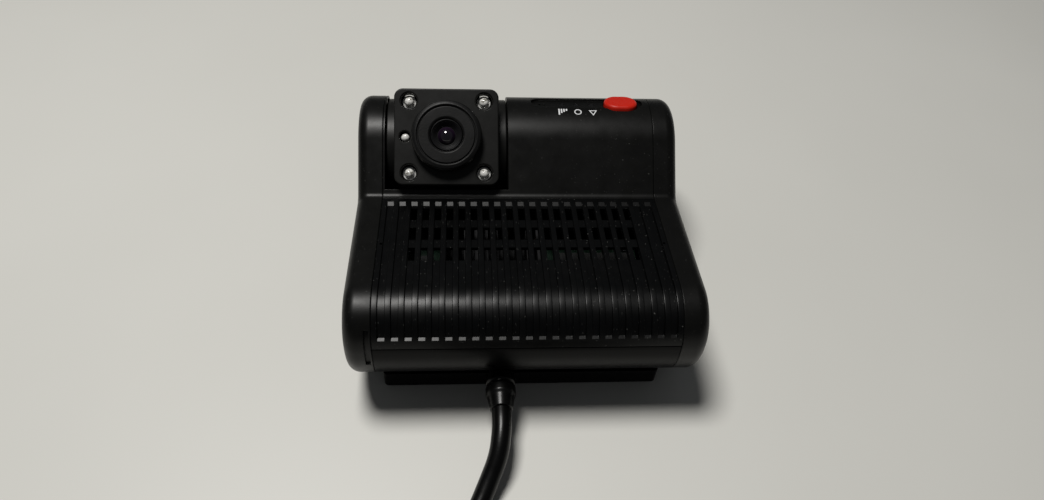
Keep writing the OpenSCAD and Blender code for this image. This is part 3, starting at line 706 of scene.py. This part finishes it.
# The lead's centreline from the boot's tip to the start of the coil
LEAD_ROUTE = [
    (-9, -50, 16), (-9, -53.5, 15.85), (-9.1, -57, 15.25), (-9.5, -60.5, 14.25),
    (-10.1, -64, 12.8), (-11.2, -67.5, 10.95), (-12.8, -71, 9), (-14.7, -75, 7.1),
    (-16.6, -79, 5.5), (-18.5, -83, 4.35), (-20.4, -87, 3.72), (-22.6, -92, 3.5),
    (-24.9, -98, 3.5), (-27.5, -106, 3.5), (-30.2, -114, 3.5),
]
# Each turn's radius beyond the coil's mean, and its layer
COIL_TURNS = [(7, 0), (0, 0), (-7, 0), (-3.5, 1), (3.5, 1), (0, 2)]
COIL_START = 165
COIL_POINTS = 30
# The share of a turn in which it crosses to the next one's place
CROSSING = 0.45
# The coil's last points, which rise or fall to the plug's height
LIFT_POINTS = 9


def ease(t):
    t = min(max(t, 0.0), 1.0)
    return t * t * (3 - 2 * t)


def coil_route():
    """The coil's turns, each rising and moving over to the next one's place at the end of its round."""
    layer = CABLE_D * math.sin(math.radians(60))
    points = []
    for k, (offset, level) in enumerate(COIL_TURNS):
        last = k == len(COIL_TURNS) - 1
        next_offset, next_level = (offset, level) if last else COIL_TURNS[k + 1]
        for j in range(COIL_POINTS - (1 if last else 0)):
            t = j / COIL_POINTS
            over = ease((t - 1 + CROSSING) / CROSSING)
            up = ease((t - 1 + CROSSING) / (CROSSING * 0.6))
            radius = COIL_R + offset + (next_offset - offset) * over
            height = CABLE_D / 2 + layer * (level + (next_level - level) * up)
            place = COIL_C + radius * direction(COIL_START + 360 * t)
            points.append((*place, height))
    return points


def make_cable():
    plug_low, plug_high = (Vector(c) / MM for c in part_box("cable_plug"))
    plug_x, plug_back = (plug_low[0] + plug_high[0]) / 2, plug_high[1]
    plug_z = plug_low[2] + PLUG_AXIS
    coil = coil_route()
    end = [(plug_x, plug_back + 0.1, plug_z), (plug_x, plug_back - 3, plug_z)]
    lift = [
        (x, y, z + (plug_z - z) * ease((k + 1) / LIFT_POINTS))
        for k, (x, y, z) in enumerate(coil[-LIFT_POINTS:-1])
    ]
    points = LEAD_ROUTE + coil[:-LIFT_POINTS] + lift + end
    curve = bpy.data.curves.new("power_cable", "CURVE")
    curve.dimensions = "3D"
    curve.bevel_depth = CABLE_D / 2 * MM
    curve.bevel_resolution = 6
    curve.resolution_u = 5
    curve.use_fill_caps = True
    spline = curve.splines.new("BEZIER")
    spline.bezier_points.add(len(points) - 1)
    for bezier, point in zip(spline.bezier_points, points):
        bezier.co = Vector(point) * MM
        bezier.handle_left_type = bezier.handle_right_type = "AUTO"
    cable = bpy.data.objects.new("power_cable", curve)
    bpy.context.scene.collection.objects.link(cable)
    return cable


# Materials. Texture sizes are in metres, in the object's own space.


def nodes_of(name):
    material = bpy.data.materials.new(name)
    material.use_nodes = True
    nodes, links = material.node_tree.nodes, material.node_tree.links
    nodes.clear()
    output = nodes.new("ShaderNodeOutputMaterial")
    shader = nodes.new("ShaderNodeBsdfPrincipled")
    links.new(shader.outputs["BSDF"], output.inputs["Surface"])
    coordinates = nodes.new("ShaderNodeTexCoord")
    return material, nodes, links, shader, coordinates.outputs["Object"]


def noise(nodes, links, where, size, detail, rough=0.5):
    texture = nodes.new("ShaderNodeTexNoise")
    texture.inputs["Scale"].default_value = 1 / size
    texture.inputs["Detail"].default_value = detail
    texture.inputs["Roughness"].default_value = rough
    links.new(where, texture.inputs["Vector"])
    return texture.outputs["Fac"]


def spread(nodes, links, value, low, high, from_low=0.3, from_high=0.7):
    """Maps a texture's middle range onto low to high."""
    node = nodes.new("ShaderNodeMapRange")
    node.inputs["From Min"].default_value = from_low
    node.inputs["From Max"].default_value = from_high
    node.inputs["To Min"].default_value = low
    node.inputs["To Max"].default_value = high
    links.new(value, node.inputs["Value"])
    return node.outputs["Result"]


def ramp(nodes, links, value, *stops):
    node = nodes.new("ShaderNodeValToRGB")
    elements = node.color_ramp.elements
    while len(elements) < len(stops):
        elements.new(0.5)
    for element, (position, colour) in zip(elements, stops):
        element.position = position
        element.color = (*colour, 1)
    links.new(value, node.inputs["Fac"])
    return node.outputs["Color"]


def bump(nodes, links, height, depth, strength=1.0, normal=None):
    node = nodes.new("ShaderNodeBump")
    node.inputs["Strength"].default_value = strength
    node.inputs["Distance"].default_value = depth
    links.new(height, node.inputs["Height"])
    if normal is not None:
        links.new(normal, node.inputs["Normal"])
    return node.outputs["Normal"]


def shaded(colour, factor):
    return tuple(min(1.0, c * factor) for c in colour)


def moulded(
    name, colour, rough,
    grain=0.00035, depth=0.000012, vary=0.25, metallic=0.0, dust=0.0, edge=0.0, gleam=0.5,
):
    """Moulded plastic, rubber or metal: cloudy colour and gloss, a fine grain, and dust on request.
    edge rounds the shading of a mesh's edges, and gleam sets how strongly it reflects."""
    material, nodes, links, shader, where = nodes_of(name)
    shader.inputs["Metallic"].default_value = metallic
    shader.inputs["Specular IOR Level"].default_value = gleam
    cloud = noise(nodes, links, where, 0.018, 4)
    base = ramp(nodes, links, cloud, (0.3, shaded(colour, 1 - vary)), (0.7, shaded(colour, 1 + vary)))
    if dust:
        fleck = noise(nodes, links, where, 0.0007, 1)
        mask = spread(nodes, links, fleck, 0, 1, 0.735, 0.79)
        mix = nodes.new("ShaderNodeMix")
        mix.data_type = "RGBA"
        links.new(mask, mix.inputs["Factor"])
        links.new(base, mix.inputs["A"])
        mix.inputs["B"].default_value = (dust, dust, dust * 0.95, 1)
        base = mix.outputs["Result"]
    links.new(base, shader.inputs["Base Color"])
    smear = noise(nodes, links, where, 0.006, 5, 0.6)
    links.new(spread(nodes, links, smear, rough * 0.88, rough * 1.12), shader.inputs["Roughness"])
    normal = None
    if edge:
        rounding = nodes.new("ShaderNodeBevel")
        rounding.samples = 4
        rounding.inputs["Radius"].default_value = edge
        normal = rounding.outputs["Normal"]
    texture = noise(nodes, links, where, grain, 2)
    links.new(bump(nodes, links, texture, depth, 1, normal), shader.inputs["Normal"])
    return material


def ringed(name, colour, rough, spacing, depth, place):
    """Plastic with fine turned ridges round an axis."""
    material, nodes, links, shader, where = nodes_of(name)
    inverse = (Matrix.Scale(MM, 4) @ place @ Matrix.Scale(1 / MM, 4)).inverted()
    mapping = nodes.new("ShaderNodeMapping")
    mapping.inputs["Location"].default_value = inverse.to_translation()
    mapping.inputs["Rotation"].default_value = inverse.to_euler()
    links.new(where, mapping.inputs["Vector"])
    wave = nodes.new("ShaderNodeTexWave")
    wave.wave_type = "RINGS"
    wave.rings_direction = "Z"
    wave.inputs["Scale"].default_value = 0.314 / spacing
    wave.inputs["Distortion"].default_value = 0.15
    links.new(mapping.outputs["Vector"], wave.inputs["Vector"])
    grain = noise(nodes, links, where, 0.00028, 3)
    add = nodes.new("ShaderNodeMath")
    add.operation = "ADD"
    links.new(wave.outputs["Fac"], add.inputs[0])
    links.new(grain, add.inputs[1])
    cloud = noise(nodes, links, where, 0.01, 3)
    base = ramp(nodes, links, cloud, (0.3, shaded(colour, 0.8)), (0.7, shaded(colour, 1.25)))
    links.new(base, shader.inputs["Base Color"])
    shader.inputs["Specular IOR Level"].default_value = 0.15
    links.new(spread(nodes, links, grain, rough * 0.9, rough * 1.1), shader.inputs["Roughness"])
    links.new(bump(nodes, links, add.outputs[0], depth), shader.inputs["Normal"])
    return material


def coated_glass(name):
    """Dark lens glass whose colour turns violet towards grazing angles: a painted reflection of its violet
    coating.
    """
    material, nodes, links, shader, where = nodes_of(name)
    shader.inputs["IOR"].default_value = 1.6
    shader.inputs["Coat Weight"].default_value = 0.8
    shader.inputs["Coat Roughness"].default_value = 0.03
    # Colour set by viewing angle: painted reflection of the coating
    painted_sheen_weight = nodes.new("ShaderNodeLayerWeight")
    painted_sheen_weight.inputs["Blend"].default_value = 0.45
    stops = (0.0, (0.004, 0.003, 0.006)), (1.0, (0.03, 0.015, 0.035))
    base = ramp(nodes, links, painted_sheen_weight.outputs["Facing"], *stops)
    links.new(base, shader.inputs["Base Color"])
    haze = noise(nodes, links, where, 0.002, 3)
    links.new(spread(nodes, links, haze, 0.03, 0.07), shader.inputs["Roughness"])
    return material


def clear_resin(name):
    """Clear lamps drawn as pale resin under a clear coat; the patchy pale colour is painted sparkle and
    reflection.
    """
    material, nodes, links, shader, where = nodes_of(name)
    shader.inputs["Transmission Weight"].default_value = 0.12
    shader.inputs["Coat Weight"].default_value = 1.0
    shader.inputs["IOR"].default_value = 1.5
    cloud = noise(nodes, links, where, 0.0011, 2)
    # The pale patches are painted sparkle and reflection on the clear domes
    base = ramp(nodes, links, cloud, (0.38, (0.3, 0.29, 0.25)), (0.47, (1.0, 0.99, 0.95)))
    links.new(base, shader.inputs["Base Color"])
    links.new(spread(nodes, links, cloud, 0.05, 0.22), shader.inputs["Roughness"])
    return material


def board(name):
    """Green solder mask with faint tracks."""
    material, nodes, links, shader, where = nodes_of(name)
    tracks = nodes.new("ShaderNodeTexBrick")
    tracks.inputs["Scale"].default_value = 260
    tracks.inputs["Mortar Size"].default_value = 0.012
    tracks.inputs["Color1"].default_value = (0.003, 0.014, 0.007, 1)
    tracks.inputs["Color2"].default_value = (0.0035, 0.016, 0.008, 1)
    tracks.inputs["Mortar"].default_value = (0.006, 0.028, 0.014, 1)
    links.new(where, tracks.inputs["Vector"])
    links.new(tracks.outputs["Color"], shader.inputs["Base Color"])
    cloud = noise(nodes, links, where, 0.004, 3)
    links.new(spread(nodes, links, cloud, 0.28, 0.42), shader.inputs["Roughness"])
    links.new(bump(nodes, links, tracks.outputs["Fac"], 0.00003), shader.inputs["Normal"])
    return material


def table_top(name):
    """Pale board with a faint cloud and grain."""
    material, nodes, links, shader, where = nodes_of(name)
    cloud = noise(nodes, links, where, 0.25, 4)
    base = ramp(nodes, links, cloud, (0.3, (0.70, 0.695, 0.655)), (0.7, (0.735, 0.73, 0.69)))
    links.new(base, shader.inputs["Base Color"])
    links.new(spread(nodes, links, cloud, 0.42, 0.5), shader.inputs["Roughness"])
    grain = noise(nodes, links, where, 0.0006, 3)
    links.new(bump(nodes, links, grain, 0.00001), shader.inputs["Normal"])
    return material


def painted(name, colour):
    """Printed ink, thinner in places."""
    material, nodes, links, shader, where = nodes_of(name)
    cloud = noise(nodes, links, where, 0.0008, 3)
    base = ramp(nodes, links, cloud, (0.3, shaded(colour, 0.86)), (0.7, colour))
    links.new(base, shader.inputs["Base Color"])
    links.new(spread(nodes, links, cloud, 0.45, 0.6), shader.inputs["Roughness"])
    links.new(bump(nodes, links, cloud, 0.00001), shader.inputs["Normal"])
    return material


# What moulded makes: colour, roughness, and the rest by name
MOULDED = {
    "casing_black": ((0.0035, 0.0035, 0.0032), 0.36, {"dust": 0.05, "edge": 0.0004, "gleam": 0.22}),
    # A darker copy of casing_black with weaker reflection: painted shade on the casing's underside and back
    "shell_black": ((0.0008, 0.0008, 0.0009), 0.3, {"gleam": 0.08}),
    "cover_black": ((0.0008, 0.0009, 0.001), 0.33, {"dust": 0.1, "gleam": 0.24}),
    "bracket_black": ((0.0012, 0.0012, 0.0013), 0.3, {"edge": 0.0005, "gleam": 0.15}),
    "trim_black": ((0.0065, 0.0065, 0.006), 0.4, {"grain": 0.00025, "edge": 0.0002, "gleam": 0.25}),
    "ring_grain": ((0.006, 0.006, 0.006), 0.42, {"grain": 0.0005, "depth": 0.00005, "gleam": 0.25}),
    "dish_silver": (
        (0.95, 0.94, 0.9), 0.25, {"grain": 0.0006, "depth": 0.00008, "metallic": 0.4, "vary": 0.1},
    ),
    # Near black for the clear status light pipes: painted shade in their holes
    "smoked": ((0.004, 0.004, 0.004), 0.2, {}),
    "button_red": ((0.56, 0.016, 0.006), 0.42, {"vary": 0.06, "gleam": 0.3}),
    "screw_steel": ((0.1, 0.1, 0.11), 0.35, {"metallic": 1, "edge": 0.0002}),
    "pin_steel": ((0.55, 0.56, 0.58), 0.25, {"metallic": 1}),
    "chip_black": ((0.02, 0.02, 0.022), 0.55, {}),
    "can_metal": ((0.05, 0.05, 0.05), 0.55, {"metallic": 1, "vary": 0.08}),
    "heat_sink_metal": ((0.006, 0.006, 0.007), 0.6, {"gleam": 0.3}),
    "gap_pad": ((0.35, 0.42, 0.5), 0.8, {}),
    "capacitor_sleeve": ((0.006, 0.009, 0.02), 0.5, {}),
    "ceramic": ((0.7, 0.66, 0.58), 0.5, {"vary": 0.06}),
    "flex": ((0.35, 0.16, 0.03), 0.35, {}),
    "bearing_plastic": ((0.72, 0.71, 0.67), 0.45, {"vary": 0.05}),
    "adhesive_foam": ((0.12, 0.12, 0.125), 0.85, {"grain": 0.0005, "depth": 0.0001}),
    "cable_rubber": ((0.0015, 0.0015, 0.0015), 0.3, {"grain": 0.0008, "depth": 0.00002, "gleam": 0.25}),
    "card_black": ((0.012, 0.012, 0.014), 0.35, {}),
    "card_white": ((0.75, 0.75, 0.73), 0.45, {"vary": 0.05}),
}
SPECIAL = {
    "lens_black": lambda name: ringed(name, (0.0025, 0.0025, 0.003), 0.4, 0.0006, 0.00002, AT_CABIN),
    "lens_glass": coated_glass,
    "clear_resin": clear_resin,
    "board_green": board,
    "print_white": lambda name: painted(name, (0.78, 0.79, 0.8)),
}
finishes = {}


def finish_for(name):
    """The material of that name, made when first asked for."""
    if name not in finishes:
        if name in MOULDED:
            colour, rough, rest = MOULDED[name]
            finishes[name] = moulded(name, colour, rough, **rest)
        else:
            finishes[name] = SPECIAL[name](name)
    return finishes[name]


def dress(piece, slot, body, *replaced, finish=None):
    """Gives a piece its material, the finish if given and else the slot's, and its body, and hides the CAD
    nodes that it stands for.
    """
    piece.data.materials.clear()
    piece.data.materials.append(finish_for(finish or slot))
    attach(piece, body)
    if replaced:
        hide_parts(*replaced)
    return piece


# Camera

CAMERA_PLACE = Vector((-22.89, -193.25, 266.44))
CAMERA_LENS = 27.43
CAMERA_YAW = 4.327
CAMERA_PITCH = 1.145
CAMERA_ROLL = -0.24


def make_camera():
    data = bpy.data.cameras.new("camera")
    data.sensor_width = 36
    data.sensor_fit = "HORIZONTAL"
    data.lens = CAMERA_LENS
    data.clip_start = 0.01
    data.clip_end = 20
    camera = bpy.data.objects.new("camera", data)
    face = Matrix.Rotation(math.radians(HEAD_TILT), 4, "X")
    yaw = Matrix.Rotation(math.radians(-CAMERA_YAW), 4, "Y")
    roll = Matrix.Rotation(math.radians(CAMERA_ROLL), 4, "Z")
    pitch = Matrix.Rotation(math.radians(CAMERA_PITCH), 4, "X")
    camera.matrix_world = Matrix.Translation(CAMERA_PLACE * MM) @ face @ yaw @ pitch @ roll
    bpy.context.scene.collection.objects.link(camera)
    bpy.context.scene.camera = camera


def make_light(name, place, size, power, colour):
    """A round soft light that points at the origin."""
    data = bpy.data.lights.new(name, "AREA")
    data.shape = "DISK"
    data.size = size
    data.energy = power
    data.color = colour
    light = bpy.data.objects.new(name, data)
    light.location = place
    light.rotation_euler = (-Vector(place)).to_track_quat("-Z", "Y").to_euler()
    bpy.context.scene.collection.objects.link(light)


def make_studio():
    scene = bpy.context.scene
    scene.view_settings.view_transform = "Standard"
    world = bpy.data.worlds.new("studio")
    world.use_nodes = True
    background = world.node_tree.nodes["Background"]
    background.inputs["Color"].default_value = (0.93, 0.96, 1.0, 1)
    background.inputs["Strength"].default_value = 0.06
    scene.world = world
    make_light("soft_overhead", (-0.24, 0.1, 1.15), 0.36, 10.9, (1, 0.985, 0.955))
    corners = [(-3, -3, 0), (3, -3, 0), (3, 3, 0), (-3, 3, 0)]
    floor = new_piece("floor", corners, [(0, 1, 2, 3)], scale=1)
    floor.data.materials.append(table_top("table_top"))


# The object

make_camera()

cable = dress(make_cable(), "cable_rubber", "casing", "cable_lead", "cable_coil")
make_studio()

for part in frame["record"]["subparts"]:
    node = frame["nodes"][part["node"]]
    node.data.materials.clear()
    # The status light pipes take near black: painted shade in the light holes
    smoked = part["node"] == "status_light_pipes"
    node.data.materials.append(finish_for("smoked" if smoked else part["material_slot"]))

# The rear shell takes a darker copy of the casing's black: painted shade
dress(smooth(make_rear_shell()), "casing_black", "casing", "rear_shell", finish="shell_black")
dress(smooth(make_front_panel()), "casing_black", "casing", "front_panel")
dress(smooth(make_ribbed_cover(), angle=30), "cover_black", "casing", "ribbed_cover")
dress(smooth(make_left_cap()), "casing_black", "casing", "left_end_cap")
dress(smooth(make_end_cap("right_cap_skin", 1)), "casing_black", "casing", "right_end_cap")
dress(smooth(make_boot(), angle=60), "cable_rubber", "casing", "cable_boot")

dress(smooth(make_drum()), "trim_black", "cabin_camera", "drum_shell")
dress(smooth(make_face_plate()), "trim_black", "cabin_camera", "face_plate")
dress(smooth(make_lens_ring()), "trim_black", "cabin_camera", "lens_ring", finish="ring_grain")
dress(smooth(make_lens_barrel()), "lens_black", "cabin_camera", "lens_barrel")
lens = dome("lens_front_element", 3.35, LENS_BASE, 1.9, AT_CABIN, rise=0.1)
dress(smooth(lens), "lens_glass", "cabin_camera", "lens_glass")

for number, (x, y) in enumerate(LED_SPOTS):
    place = moved(AT_CABIN, x, y)
    light = dome(f"infrared_dome_{number}", 1.8, 22.4, 1.75, place, rise=0.9)
    dress(smooth(light), "clear_resin", "cabin_camera", "infrared_lights")
    dish = make_reflector(f"infrared_dish_{number}", place)
    dress(smooth(dish), "can_metal", "cabin_camera", finish="dish_silver")

button = obround("record_button_cap", BUTTON_L, BUTTON_H, 17, 21.4, moved(AT_STATUS, BUTTON_X), 1.2)
dress(smooth(button), "button_red", "record_button", "record_button")

for sign in (make_bars(), make_ring_sign(), make_triangle_sign()):
    dress(smooth(sign), "card_white", "casing", finish="print_white")
